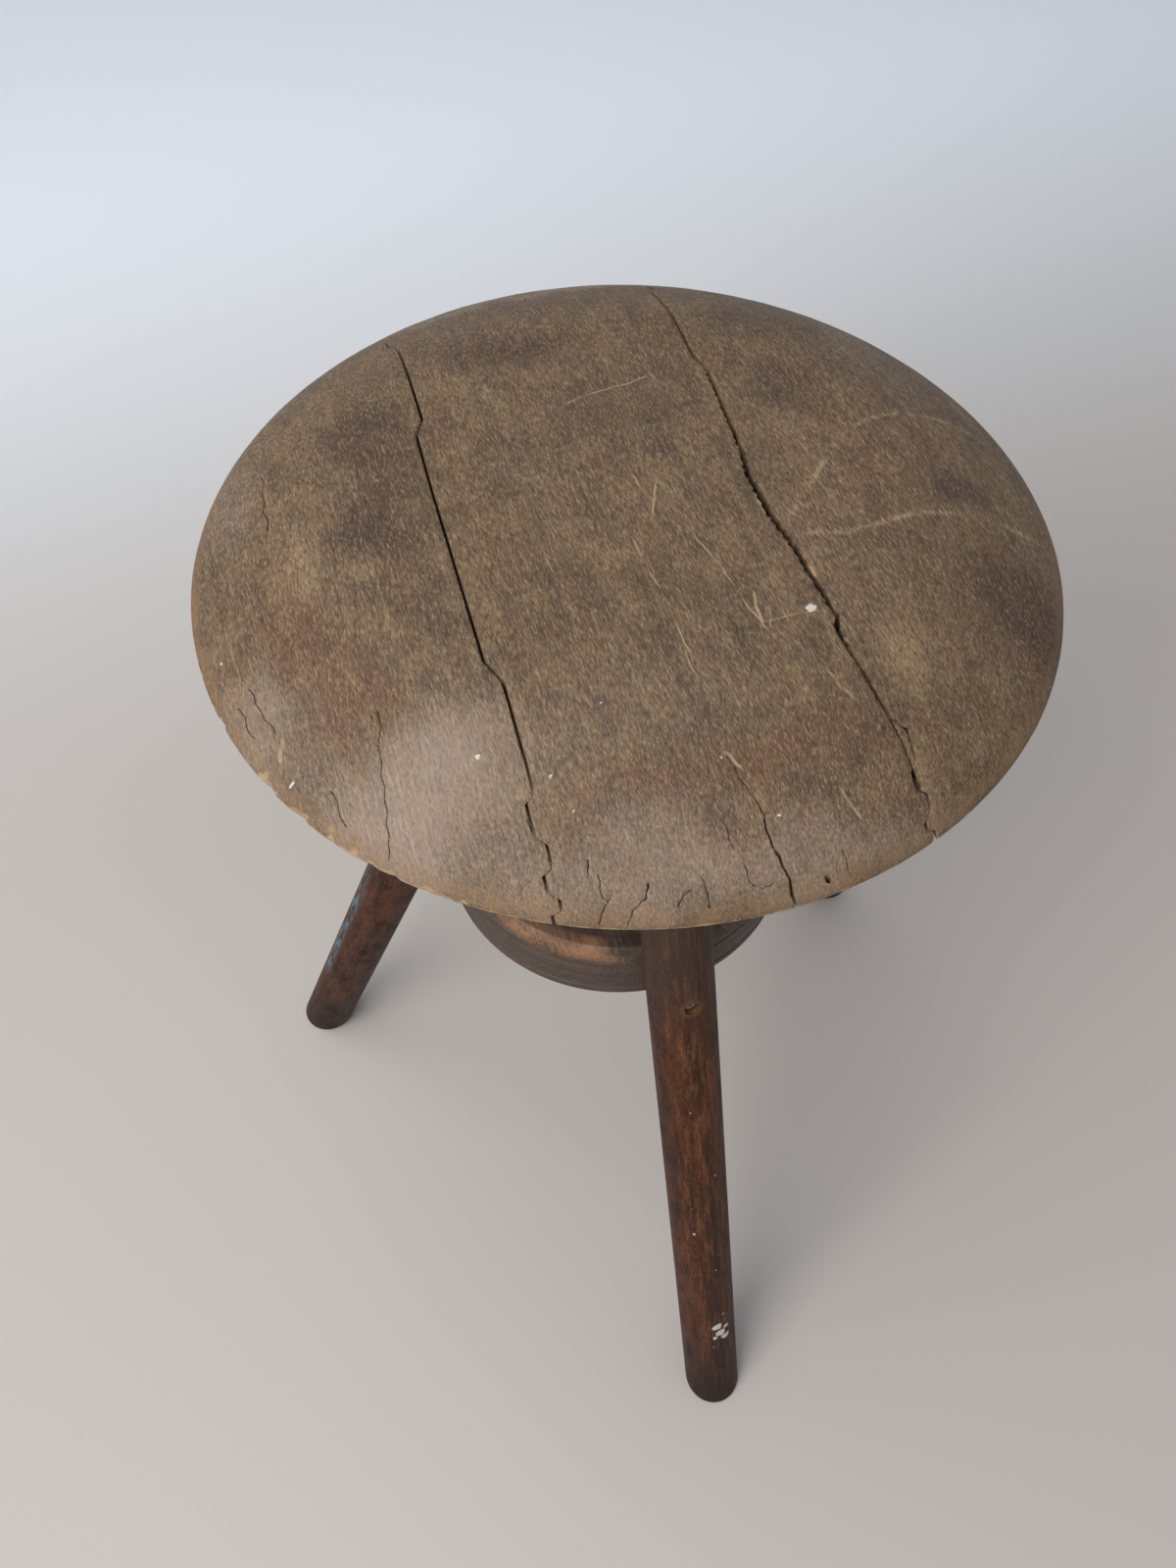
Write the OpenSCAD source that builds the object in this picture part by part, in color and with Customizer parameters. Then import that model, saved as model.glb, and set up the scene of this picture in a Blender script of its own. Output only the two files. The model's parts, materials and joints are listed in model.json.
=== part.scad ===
// Three leg stool with a round domed seat that is raised and lowered on a screw.
// Millimetres, +Z up, floor at z = 0.  The front leg points along -Y.
// The origin is the middle of the bounding box at floor level; the screw's axis
// is the vertical line x = axis_x, y = axis_y.

/* [Seat] */
// outside diameter of the seat
seat_d = 350; // [320:1:380]
// height of the seat's flat underside above the floor, as stored
seat_z = 560; // [555:1:575]
// height of the dome above the underside
dome_h = 36.8; // [32:0.2:42]
// radius inside which the dome is nearly level
dome_flat_r = 105; // [95:1:115]
// fall of the crown from the centre out to that radius
crown = 2; // [1:0.1:3]
// fullness of the dome's shoulder, 1 for a straight bevel and 2 for a round one
dome_power = 1.4; // [1.2:0.1:2]

/* [Seat boards] */
// distance of the left joint from the axis
left_joint_u = 72; // [64:1:78]
// distance of the right joint from the axis
right_joint_u = 57.5; // [54:0.5:62]
// angle between the left joint and the Y axis, in degrees
left_joint_a = -1.9; // [-4:0.1:0]
// angle between the right joint and the Y axis, in degrees
right_joint_a = 0; // [-1:0.1:1]
// depth of the comb's teeth
tooth = 3.3; // [2:0.1:4]
// width of the open left joint
left_gap = 1.2; // [0.8:0.1:1.6]
// width of the open right joint
right_gap = 1.7; // [1:0.1:2.2]

/* [Legs] */
// diameter of a leg
leg_d = 35; // [33:0.5:37]
// angle of the front and left legs from the vertical, in degrees
splay = 19.5; // [18.5:0.1:20.5]
// angle of the right leg, which leans out further
right_splay = 22.2; // [21:0.1:23]
// distance of the front and left feet's centres from the axis
foot_r = 228.4; // [222:0.2:232]
// distance of the right foot's centre from the axis
right_foot_r = 252; // [246:0.5:256]
// direction of the right leg from the X axis, in degrees
right_leg_a = 24.5; // [20:0.5:32]
// diameter of the tenon at the top of a leg
tenon_d = 26; // [24:0.5:27]
// radius of the flat end that meets the floor
foot_face_r = 15.5; // [14:0.1:16]

/* [Brace disc] */
// largest radius of the disc between the legs
disc_r = 92.5; // [90:0.5:94]
// height of its lower face above the floor
disc_z = 335; // [332:1:340]
// thickness of the disc
disc_h = 42; // [38:1:44]
// diameter of the hole that clears the spindle's lower end
disc_hole_d = 56; // [50:1:58]
// diameter of the pegs that fix the legs to the disc
peg_d = 8; // [6:0.5:9]

/* [Hub] */
// height of the hub's lower face above the floor
hub_z = 442; // [440:1:446]
// height of the hub
hub_h = 58; // [56:1:60]
// largest radius of the hub
hub_r = 98; // [96:0.5:101]

/* [Screw] */
// outside diameter of the spindle's thread
spindle_d = 28; // [26:0.5:30]
// rise for one full turn
lead = 10; // [8:0.5:12]
// diameter of the spindle's end in the bracket's boss
seat_end_d = 24; // [22:0.5:25]
// radial clearance of the spindle in its nut
run_gap = 0.3; // [0.3:0.05:0.5]
// diameter of the nut's flange
flange_d = 72; // [68:1:73]
// thickness of the nut's flange
flange_h = 5; // [4:0.5:6]

/* [Bracket] */
// length of each arm of the cast bracket from the axis
arm_l = 110; // [106:1:115]
// thickness of the arms
arm_h = 6; // [5:0.5:7]
// height of the boss below the underside of the arms
boss_h = 24; // [22:1:25]
// diameter of the boss
boss_d = 46; // [42:1:50]

/* [Hidden] */
$fn = 96;
eps = 0.05;
big = 400;

seat_r = seat_d / 2;
leg_r = leg_d / 2;
foot_bevel_h = 6.5;

// each leg's direction from the X axis, splay and foot distance
leg_front_at = [-90, splay, foot_r];
leg_left_at = [150, splay, foot_r];
leg_right_at = [right_leg_a, right_splay, right_foot_r];
legs = [leg_front_at, leg_left_at, leg_right_at];

// half the width of a leg's level section, seen turned by psi from its lean
function half_section(a, psi) = sqrt(pow(leg_r * cos(psi) / cos(a), 2) + pow(leg_r * sin(psi), 2));

// how far a foot reaches from its centre: to where its bevel meets its side
function foot_half(a, psi) = foot_face_r
    + (half_section(a, psi) - foot_face_r) / (1 + tan(a) * cos(psi));

axis_x = (foot_r * cos(30) + foot_half(splay, 30)
    - right_foot_r * cos(right_leg_a) - foot_half(right_splay, right_leg_a)) / 2;
axis_y = (foot_r + foot_half(splay, 0) - seat_r) / 2;

hub_top = hub_z + hub_h;
arm_z = seat_z - arm_h;
boss_z = arm_z - boss_h;
neck_z = 345;
neck_d = 18;
washer_d = 40;
washer_h = 3;
peg_z = disc_z + 27;
nut_body_d = 44;
nut_body_h = 44;
screw_d = 4.2;
screw_head_d = 8.4;
screw_head_h = 2.6;
nut_screw_pcd = 56;
arm_screw_r = [42, 98];

wood_seat = [0.52, 0.44, 0.36];
wood_dark = [0.30, 0.20, 0.15];
wood_pale = [0.62, 0.50, 0.36];
iron = [0.17, 0.17, 0.18];
steel = [0.45, 0.44, 0.42];

// Moves its children from the screw's axis to their place in the frame.
module on_axis() {
    translate([axis_x, axis_y, 0]) children();
}

// A leg's own frame: the origin at the foot's centre, +Z up along the leg.
module leg_frame(at) {
    rotate([0, 0, at[0]]) translate([at[2], 0, 0]) rotate([0, -at[1], 0]) children();
}

// Distance up a leg's axis to a height above the floor.
function along(at, z) = z / cos(at[1]);

// Distance of a leg's axis from the screw's axis at a height.
function leg_axis_r(at, z) = at[2] - z * tan(at[1]);

// ---- seat ----

// Half outline of the seat: crown, shoulder, worn lower edge and underside.
function crown_points(n) = [
    for (i = [0 : n]) let (q = i / n)
        [q * dome_flat_r, dome_h - crown * q * q]
];

function shoulder_points(n) = [
    for (i = [1 : n - 1]) let (t = 90 - 90 * i / n)
        [dome_flat_r + (seat_r - dome_flat_r) * pow(cos(t), 2 / dome_power),
         1.2 + (dome_h - crown - 1.2) * pow(sin(t), 2 / dome_power)]
];

module seat_outline() {
    polygon(concat(crown_points(6), shoulder_points(16),
        [[seat_r, 1.2], [seat_r - 0.4, 0.4], [seat_r - 1.2, 0], [0, 0]]));
}

// Edge of a comb joint from the underside to above the dome.  Each pair is a
// height and whether the edge steps in towards the axis there (1) or not (0).
comb_steps = [
    [-1, 0], [3.8, 0], [4.8, 1], [7.4, 1], [8.8, 0], [12, 0], [13.4, 1], [17, 1],
    [18.4, 0], [22.6, 0], [24, 1], [28, 1]
];
left_top = [[28, -1.5], [60, -1.5]];
right_top = [[60, 1]];

// Above the teeth the left joint runs along this course, from front to back,
// one tooth further out where it crosses the nearly flat top.
left_tooth_z = 28;
left_tooth = [
    [-72.9, -125], [-71.6, -79], [-75.5, -68], [-72.8, 21], [-71.2, 53], [-66.8, 62], [-64.8, 120]
];

// Above the teeth the right joint has split away from the glue line and runs
// through the wood of the middle board: its course, from front to back.
split_z = 24.6;
split_course = [
    [56, -150], [54.2, -134], [51, -117], [47.4, -95], [47.4, -90], [50, -86], [48.3, -48],
    [46.6, -33], [46.6, -7], [48.8, 2], [54, 58], [51.5, 66], [54.2, 112], [56, 130]
];

// Solid on the far side of a joint: the line u beyond shift, with the teeth.
module beyond_joint(side, u, a, shift, top) {
    edge = [for (s = concat(comb_steps, top)) [side * (u + shift - tooth * s[1]), s[0]]];
    rotate([0, 0, a])
        rotate([90, 0, 0])
            linear_extrude(height = 2 * big, center = true)
                polygon(concat(edge, [[side * big, 60], [side * big, -1]]));
}

module seat_round() {
    translate([0, 0, seat_z]) rotate_extrude($fn = 192) seat_outline();
}

module arm_screw_places() {
    for (k = [0 : 3], r = arm_screw_r) rotate([0, 0, 90 * k]) translate([r, 0, 0]) children();
}

module seat_pilots() {
    arm_screw_places()
        translate([0, 0, seat_z - 1]) cylinder(h = 17, r = screw_d / 2 + eps, $fn = 24);
}

module left_side(shift) {
    translate([0, 0, seat_z]) {
        beyond_joint(-1, left_joint_u, left_joint_a, shift, left_top);
        translate([0, 0, left_tooth_z - 0.2]) linear_extrude(height = 20)
            polygon(concat([for (p = left_tooth) [p[0] - shift, p[1]]],
                [[-100, 120], [-100, -125]]));
    }
}

module right_side(shift) {
    translate([0, 0, seat_z]) {
        beyond_joint(1, right_joint_u, right_joint_a, shift, right_top);
        translate([0, 0, split_z]) linear_extrude(height = 30)
            polygon(concat([for (p = split_course) [p[0] + shift, p[1]]],
                [[60, 130], [60, -150]]));
    }
}

module seat_board_left() {
    color(wood_seat) on_axis() difference() {
        intersection() {
            seat_round();
            left_side(left_gap / 2);
        }
        seat_pilots();
    }
}

module seat_board_right() {
    color(wood_seat) on_axis() difference() {
        intersection() {
            seat_round();
            right_side(right_gap / 2);
        }
        seat_pilots();
    }
}

module seat_board_middle() {
    color(wood_seat) on_axis() difference() {
        seat_round();
        left_side(-left_gap / 2);
        right_side(-right_gap / 2);
        seat_pilots();
    }
}

// ---- cast bracket under the seat ----

module arm_outline() {
    polygon([[0, -14], [arm_l - 9, -9], [arm_l - 9, 9], [0, 14]]);
    translate([arm_l - 9, 0]) circle(r = 9);
}

// Web that stiffens an arm from the boss outwards.
module arm_web() {
    translate([0, 3, 0]) rotate([90, 0, 0]) linear_extrude(height = 6)
        polygon([[0, 0.5], [88, 0.5], [54, -4], [20, -17], [0, -17]]);
}

module screw_hole(z_head) {
    translate([0, 0, z_head - 1]) cylinder(h = arm_h + 4, r = screw_d / 2 + 0.15, $fn = 24);
    translate([0, 0, z_head - 0.1])
        cylinder(h = screw_head_h + 0.1, r1 = screw_head_d / 2 + 0.25, r2 = screw_d / 2 + 0.15, $fn = 24);
}

module spider() {
    color(iron) on_axis() difference() {
        union() {
            for (k = [0 : 3]) rotate([0, 0, 90 * k]) {
                translate([0, 0, arm_z]) linear_extrude(height = arm_h - eps) arm_outline();
                difference() {
                    translate([0, 0, arm_z]) arm_web();
                    translate([arm_screw_r[0], 0, arm_z - 30]) cylinder(h = 30, r = 6.5, $fn = 32);
                }
            }
            translate([0, 0, boss_z]) rotate_extrude() polygon([
                [0, 0], [boss_d / 2 - 2, 0], [boss_d / 2, 2], [boss_d / 2, boss_h - 4],
                [boss_d / 2 + 4, boss_h + 1], [boss_d / 2 + 4, boss_h + 4], [0, boss_h + 4]]);
        }
        translate([0, 0, boss_z - 1]) cylinder(h = boss_h + arm_h + 4, r = seat_end_d / 2 + eps);
        translate([0, 0, boss_z + 12]) rotate([90, 0, 45])
            cylinder(h = boss_d + 12, r = 3 + eps, center = true, $fn = 24);
        arm_screw_places() screw_hole(arm_z);
    }
}

// Countersunk wood screw, head face at z = 0 and shank upwards, slotted.
module wood_screw(shank) {
    difference() {
        union() {
            cylinder(h = screw_head_h, r1 = screw_head_d / 2, r2 = screw_d / 2, $fn = 24);
            cylinder(h = shank, r = screw_d / 2, $fn = 24);
        }
        cube([screw_head_d + 1, 1, 1.8], center = true);
    }
}

module spider_screws() {
    color(steel) on_axis() arm_screw_places()
        translate([0, 0, arm_z + 0.1]) rotate([0, 0, 35]) wood_screw(arm_h + 14);
}

// ---- spindle ----

module pin_bore(z, r, turn) {
    translate([0, 0, z]) rotate([90, 0, turn]) cylinder(h = 80, r = r, center = true, $fn = 24);
}

module spindle() {
    color(steel) on_axis() difference() {
        rotate_extrude() polygon([
            [0, neck_z - 16], [neck_d / 2 - 1.5, neck_z - 16], [neck_d / 2, neck_z - 14.5],
            [neck_d / 2, neck_z], [spindle_d / 2 - 2, neck_z], [spindle_d / 2, neck_z + 2],
            [spindle_d / 2, boss_z - 2], [spindle_d / 2 - 2, boss_z - eps],
            [seat_end_d / 2, boss_z - eps], [seat_end_d / 2, seat_z - 4],
            [seat_end_d / 2 - 1.5, seat_z - 2.5], [0, seat_z - 2.5]]);
        pin_bore(boss_z + 12, 3 + eps, 45);
        pin_bore(neck_z - 7, 2.5 + eps, 0);
    }
}

module spindle_pin() {
    color(steel) on_axis() translate([0, 0, boss_z + 12]) rotate([90, 0, 45])
        cylinder(h = boss_d + 4, r = 3, center = true, $fn = 24);
}

module stop_pin() {
    color(steel) on_axis() translate([0, 0, neck_z - 7]) rotate([90, 0, 0])
        cylinder(h = 34, r = 2.5, center = true, $fn = 24);
}

module stop_washer() {
    color(steel) on_axis() translate([0, 0, neck_z - 0.3 - washer_h]) difference() {
        cylinder(h = washer_h, r = washer_d / 2);
        translate([0, 0, -1]) cylinder(h = washer_h + 2, r = neck_d / 2 + run_gap);
    }
}

// ---- hub and nut ----

module leg_sockets() {
    for (at = legs) leg_frame(at) {
        cylinder(h = along(at, hub_z) + 10 + eps, r = leg_r + eps);
        cylinder(h = along(at, hub_top) + 20, r = tenon_d / 2 + eps, $fn = 64);
    }
}

module hub() {
    color(wood_dark) on_axis() difference() {
        translate([0, 0, hub_z]) rotate_extrude($fn = 128) polygon([
            [0, 0], [hub_r - 3, 0], [hub_r - 1, 0.8], [hub_r, 3], [hub_r, 8.8],
            [hub_r - 1.6, 10], [hub_r, 11.2], [hub_r, 22], [hub_r - 1.6, 23.2],
            [hub_r - 0.4, 24.4], [hub_r - 2, 34], [hub_r - 5.5, 43], [hub_r - 10.5, 50],
            [hub_r - 15.5, 54.6], [hub_r - 20, 57.2], [hub_r - 24, hub_h], [0, hub_h]]);
        leg_sockets();
        translate([0, 0, hub_z - 1]) cylinder(h = hub_h + 2, r = 17);
        translate([0, 0, hub_top - nut_body_h]) cylinder(h = nut_body_h + 1, r = nut_body_d / 2 + eps);
        nut_screw_places() translate([0, 0, hub_top - 23])
            cylinder(h = 24, r = screw_d / 2 + eps, $fn = 24);
    }
}

module nut_screw_places() {
    for (k = [0 : 3]) rotate([0, 0, 45 + 90 * k]) translate([nut_screw_pcd / 2, 0, 0]) children();
}

module nut() {
    color(iron) on_axis() difference() {
        union() {
            translate([0, 0, hub_top + eps]) rotate_extrude() polygon([
                [0, -2], [nut_body_d / 2, -2], [nut_body_d / 2, 0], [flange_d / 2, 0],
                [flange_d / 2, flange_h - 1], [flange_d / 2 - 1, flange_h], [0, flange_h]]);
            translate([0, 0, hub_top - nut_body_h + eps]) cylinder(h = nut_body_h, r = nut_body_d / 2);
        }
        translate([0, 0, hub_z - 1]) cylinder(h = hub_h + 20, r = spindle_d / 2 + run_gap);
        nut_screw_places() {
            translate([0, 0, hub_top - 2]) cylinder(h = 12, r = screw_d / 2 + 0.15, $fn = 24);
            translate([0, 0, hub_top + flange_h - screw_head_h])
                cylinder(h = screw_head_h + 0.2, r1 = screw_d / 2 + 0.15,
                    r2 = screw_head_d / 2 + 0.4, $fn = 24);
        }
    }
}

module nut_screws() {
    color(steel) on_axis() nut_screw_places()
        translate([0, 0, hub_top + flange_h - 0.05]) rotate([180, 0, 20]) wood_screw(flange_h + 20);
}

// ---- legs ----

// Wedge that spreads a tenon, thick end flush with the hub's top.  The slot
// for it is the same shape with some slack, run on past the tenon's end.
module wedge(at, slack, past_end) {
    half = 1.6 + slack + past_end * 1.2 / 20;
    leg_frame(at) translate([0, 0, along(at, hub_top)])
        rotate([0, at[1], 0]) rotate([90, 0, 0])
            linear_extrude(height = tenon_d - 7 + 2 * slack, center = true) polygon([
                [-half, past_end], [half, past_end],
                [0.4 + slack, -20 - slack], [-0.4 - slack, -20 - slack]]);
}

// The space a leg may fill: above the floor, bevelled round its foot.
module above_floor(at) {
    cut_z = foot_bevel_h - 0.4;
    rotate([0, 0, at[0]]) translate([at[2], 0, 0])
        cylinder(h = foot_bevel_h, r1 = foot_face_r, r2 = foot_face_r + foot_bevel_h);
    translate([-big, -big, cut_z]) cube([2 * big, 2 * big, hub_top - cut_z]);
}

module leg(at) {
    color(wood_dark) on_axis() difference() {
        intersection() {
            leg_frame(at) union() {
                translate([0, 0, -20]) cylinder(h = along(at, hub_z) + 30, r = leg_r);
                cylinder(h = along(at, hub_top) + 12, r = tenon_d / 2, $fn = 64);
            }
            above_floor(at);
        }
        wedge(at, eps, 2);
        peg_place(at) cylinder(h = 60, r = peg_d / 2 + eps, $fn = 32);
    }
}

module leg_front() {
    leg(leg_front_at);
}

module leg_left() {
    leg(leg_left_at);
}

module leg_right() {
    leg(leg_right_at);
}

module leg_wedges() {
    color(wood_pale) on_axis() for (at = legs) wedge(at, 0, 0);
}

// ---- brace disc ----

// A peg's own frame: +Z outwards from the disc through the leg.
module peg_place(at) {
    rotate([0, 0, at[0]]) translate([leg_axis_r(at, peg_z) - 36, 0, peg_z])
        rotate([0, 90, 0]) children();
}

module brace_disc() {
    color(wood_dark) on_axis() difference() {
        translate([0, 0, disc_z]) rotate_extrude($fn = 128) polygon([
            [0, 0], [disc_r - 2.2, 0], [disc_r - 0.6, 0.6], [disc_r, 2.2], [disc_r, 6.2],
            [disc_r - 1.3, 7.3], [disc_r, 8.4], [disc_r, 26.6], [disc_r - 1.3, 27.7],
            [disc_r - 0.1, 28.8], [disc_r - 0.3, 32], [disc_r - 0.9, 35.2],
            [disc_r - 1.9, 38], [disc_r - 3, 40], [disc_r - 4.2, 41.4],
            [disc_r - 5.4, disc_h], [0, disc_h]]);
        for (at = legs) leg_frame(at) cylinder(h = 600, r = leg_r + eps);
        for (at = legs) peg_place(at) cylinder(h = 60, r = peg_d / 2 + eps, $fn = 32);
        translate([0, 0, disc_z - 1]) cylinder(h = disc_h + 2, r = disc_hole_d / 2);
        translate([0, 0, disc_z + disc_h - 2])
            cylinder(h = 2.1, r1 = disc_hole_d / 2, r2 = disc_hole_d / 2 + 2.1);
    }
}

module brace_pegs() {
    color(wood_pale) on_axis() for (at = legs) peg_place(at)
        cylinder(h = 36 + leg_r / cos(at[1]) - 1.6, r = peg_d / 2, $fn = 32);
}

seat_board_left();
seat_board_middle();
seat_board_right();
spider();
spider_screws();
spindle();
spindle_pin();
stop_pin();
stop_washer();
hub();
nut();
nut_screws();
leg_front();
leg_left();
leg_right();
leg_wedges();
brace_disc();
brace_pegs();
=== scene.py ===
import json
import math

import bmesh
import bpy
import numpy as np
from mathutils import Euler, Matrix, Vector


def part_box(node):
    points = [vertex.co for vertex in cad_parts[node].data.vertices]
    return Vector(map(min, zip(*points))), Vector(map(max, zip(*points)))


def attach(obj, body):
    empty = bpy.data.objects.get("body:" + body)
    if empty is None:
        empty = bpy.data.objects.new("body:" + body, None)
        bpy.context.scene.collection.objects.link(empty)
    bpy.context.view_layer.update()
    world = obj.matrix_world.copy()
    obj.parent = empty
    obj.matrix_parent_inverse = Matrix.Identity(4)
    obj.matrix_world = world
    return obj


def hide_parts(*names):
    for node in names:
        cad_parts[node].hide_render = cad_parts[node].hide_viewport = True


# The looks of an old three leg screw stool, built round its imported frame.
# Lengths are in millimetres unless a name says otherwise; Blender works in metres.
# On the seat, x and y are measured from the screw's axis; the grain runs along y,
# and -y points at the front leg.

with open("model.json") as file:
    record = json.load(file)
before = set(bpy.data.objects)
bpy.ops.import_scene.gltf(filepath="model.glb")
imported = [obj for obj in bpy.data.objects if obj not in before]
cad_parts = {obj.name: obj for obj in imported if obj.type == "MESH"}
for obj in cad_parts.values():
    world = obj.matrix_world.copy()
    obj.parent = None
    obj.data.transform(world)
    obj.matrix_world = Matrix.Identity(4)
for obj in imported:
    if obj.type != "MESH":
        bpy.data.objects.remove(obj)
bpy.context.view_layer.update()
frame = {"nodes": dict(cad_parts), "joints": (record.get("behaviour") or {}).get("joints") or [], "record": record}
NODES = frame["nodes"]
RECORD = frame["record"]

MM = 0.001
HINGE = next(j for j in frame["joints"] if j["name"] == "seat_turn")
AXIS = Vector((HINGE["pos_m"][0], HINGE["pos_m"][1], 0)) / MM
SEAT_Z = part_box("seat_board_middle")[0].z / MM
SEAT_R = 175
SEAT_ORIGIN = np.array([AXIS.x, AXIS.y, SEAT_Z])

# The dome of the seat, as the frame has it.
DOME_H = 36.8
DOME_FLAT_R = 105
CROWN = 2
DOME_POWER = 1.4
ARRIS_H = 1.2
# Where its shoulder starts along the outline, from 0 in the middle to 1 at the rim.
SHOULDER_START = 0.62

LEG_R = 17.5
LEG_SPLAY = {"leg_front": 19.5, "leg_left": 19.5, "leg_right": 22.2}
# Paint specks on the front leg, in the leg's own frame: centre and radius.
LEG_SPECKS = [(17.3, 1, 88, 3.4), (17, 3, 80, 3.6), (16, 6, 74, 3.0), (15.6, 7, 84, 1.8),
              (17.4, -1, 76, 1.6), (17.2, -3, 66, 0.8), (16.8, 5, 100, 0.9), (15.5, -8, 190, 0.9),
              (16.3, 6, 240, 0.8), (16.5, -5, 300, 0.8), (17, 3, 150, 0.7)]
# Each leg's marks: its specks, its streak of blue paint, and the worn ring round its peg.
LEG_LOOKS = {
    "leg_front": {"specks": LEG_SPECKS, "halo": (LEG_R, 0, 378)},
    "leg_left": {"blue": True, "halo": (LEG_R, 0, 378)},
    "leg_right": {"halo": (LEG_R, 0, 384)},
}
FEET = {m["name"]: Vector(m["pos_m"]) / MM for m in RECORD["mounts"]}

# Courses of the two joints over the top of the seat, from front to back.
LEFT_JOINT = [(-74, -156), (-72.9, -125), (-71.6, -79), (-75.5, -68), (-72.8, 21), (-71.2, 53),
              (-66.8, 62), (-64.8, 120), (-66, 140)]
RIGHT_JOINT = [(57, -165), (56, -150), (54.2, -134), (51, -117), (47.4, -95), (50, -86), (48.3, -48),
               (46.6, -33), (46.6, -7), (48.8, 2), (54, 58), (51.5, 66), (54.2, 112), (57, 130)]

# Cracks in the seat: points of the course, width at its start and end, depth.
CRACKS = [
    ([(-8, -128), (-5, -139), (-2.6, -146), (-2.2, -156), (-0.6, -164), (2, -176)], 0.15, 1.5, 9),
    ([(-115, -72), (-118, -90), (-120.4, -102), (-121.8, -113), (-124, -119)], 0.15, 0.3, 3),
    ([(-45, -157), (-47, -161), (-52, -162.5), (-55, -166)], 0.7, 0.15, 3),
    ([(-60, -150), (-60.6, -156), (-59, -158)], 0.15, 0.6, 2),
    ([(-62, -145), (-63.4, -150)], 0.5, 0.15, 2),
    ([(-58, -157), (-61, -159.5), (-63.5, -162)], 0.2, 0.6, 2),
    ([(-28, -160), (-27, -165), (-27.8, -169)], 0.2, 0.6, 3),
    ([(-13, -161), (-12.6, -166), (-9, -168.6), (-5, -168)], 0.5, 0.15, 2),
    ([(-16, -147), (-15, -156)], 0.15, 0.4, 2),
    ([(21, -164), (22.4, -171.5)], 0.5, 0.2, 3),
    ([(-37.5, -166), (-35, -163.6), (-32, -163)], 0.5, 0.15, 2),
    ([(-157, -38), (-154.4, -49), (-151, -61)], 0.5, 0.15, 2),
    ([(-162.4, -42), (-159, -57)], 0.4, 0.15, 2),
    ([(-137, -90), (-135, -103)], 0.15, 0.4, 2),
    ([(-134.6, 64), (-135.6, 46), (-137, 28)], 0.15, 0.6, 1.2),
    ([(-30, 148), (-29, 136)], 0.5, 0.15, 2),
    ([(-2, 152), (-1, 130), (0, 118)], 0.4, 0.15, 2),
]
# Small round holes: x, y, radius.
HOLES = [(14, -170.5, 1.2)]

# How wide the right joint gapes at points along y, and how deep.
GAPE = [(-152, 0.5), (-118, 1.5), (-86, 2.0), (-60, 2.7), (-30, 3.1), (-6, 3.0), (4, 2.0),
        (58, 1.5), (66, 0.5)]
GAPE_DEPTH = 14

# A small knot near the left rim and a pit behind it.
KNOT = (-141, 12)
PIT = (-119, 98)

# Broad patches in the seat's colour: x, y, half widths along x and y, strength.
# Most dark patches are stains; the two broad ones at (122, 60) and (10, 138) are painted shade over the right and
# far parts of the seat.
DARK_STAIN_AND_SHADE_BLOTS = [(-90, 62, 22, 26, 1), (-92, 12, 22, 26, 0.85), (-104, 10, 20, 7, 0.5),
              (-20, 96, 32, 14, 0.8), (17, 48, 40, 28, 0.5), (128, -98, 26, 26, 0.9),
              (78, 40, 16, 12, 0.7), (122, -36, 14, 9, 0.6), (60, 88, 50, 22, 0.5),
              (-20, 20, 30, 50, 0.25), (122, 60, 50, 90, 0.5), (10, 138, 110, 30, 0.5),
              (96, -60, 60, 40, 0.42), (58, -110, 9, 22, 0.5), (30, -128, 26, 12, 0.5)]
RED_BLOTS = [(-136, -36, 14, 34, 1), (-118, -64, 20, 20, 0.7), (-20, -128, 60, 13, 0.8),
             (-84, -100, 30, 13, 0.4), (-60, 110, 30, 18, 0.5), (132, -96, 18, 34, 0.6),
             (75, 62, 44, 20, 0.45), (40, -128, 40, 12, 0.5)]
PALE_BLOTS = [(-85, 14, 6, 9, 1.4), (-104, -10, 11, 8, 0.6), (-130, -4, 13, 22, 0.75),
              (84, -84, 26, 22, 0.3), (-20, -32, 14, 7, 0.4), (-124, 84, 18, 12, 0.5),
              (-160, -60, 12, 34, 0.35), (-66, 126, 20, 14, 0.35), (66, -108, 12, 18, 0.8),
              (54, 104, 14, 12, 0.5), (-130, 34, 9, 26, 0.5), (0, -30, 60, 20, 0.25)]
# Patches of painted sheen: light reflected off the front left slope, the right side and the far rim, painted into
# the seat's colour.
PAINTED_SHEEN_BLOTS = [(-118, -108, 44, 30, 1), (-60, -150, 50, 18, 0.55), (14, -164, 64, 12, 0.6),
               (-158, -52, 18, 28, 0.7), (-150, 60, 14, 40, 0.5), (-40, -100, 60, 26, 0.25),
               (128, 76, 18, 60, 0.4), (0, 154, 90, 10, 0.6)]
# Where the saw's fine ribs still show.
RIBBED_BLOTS = [(-112, -106, 34, 26, 1), (-70, -140, 26, 16, 0.6), (-140, -70, 18, 24, 0.5)]

# Faint curved stains on the right board, each a course of points.
RING_STAINS = [[(50, -38), (62, -26), (76, -12), (90, 2), (107, 9), (122, 11), (136, 10), (152, 4)],
               [(54, -45), (70, -49), (85, -48), (102, -46), (119, -48), (138, -52), (155, -58)]]

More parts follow.
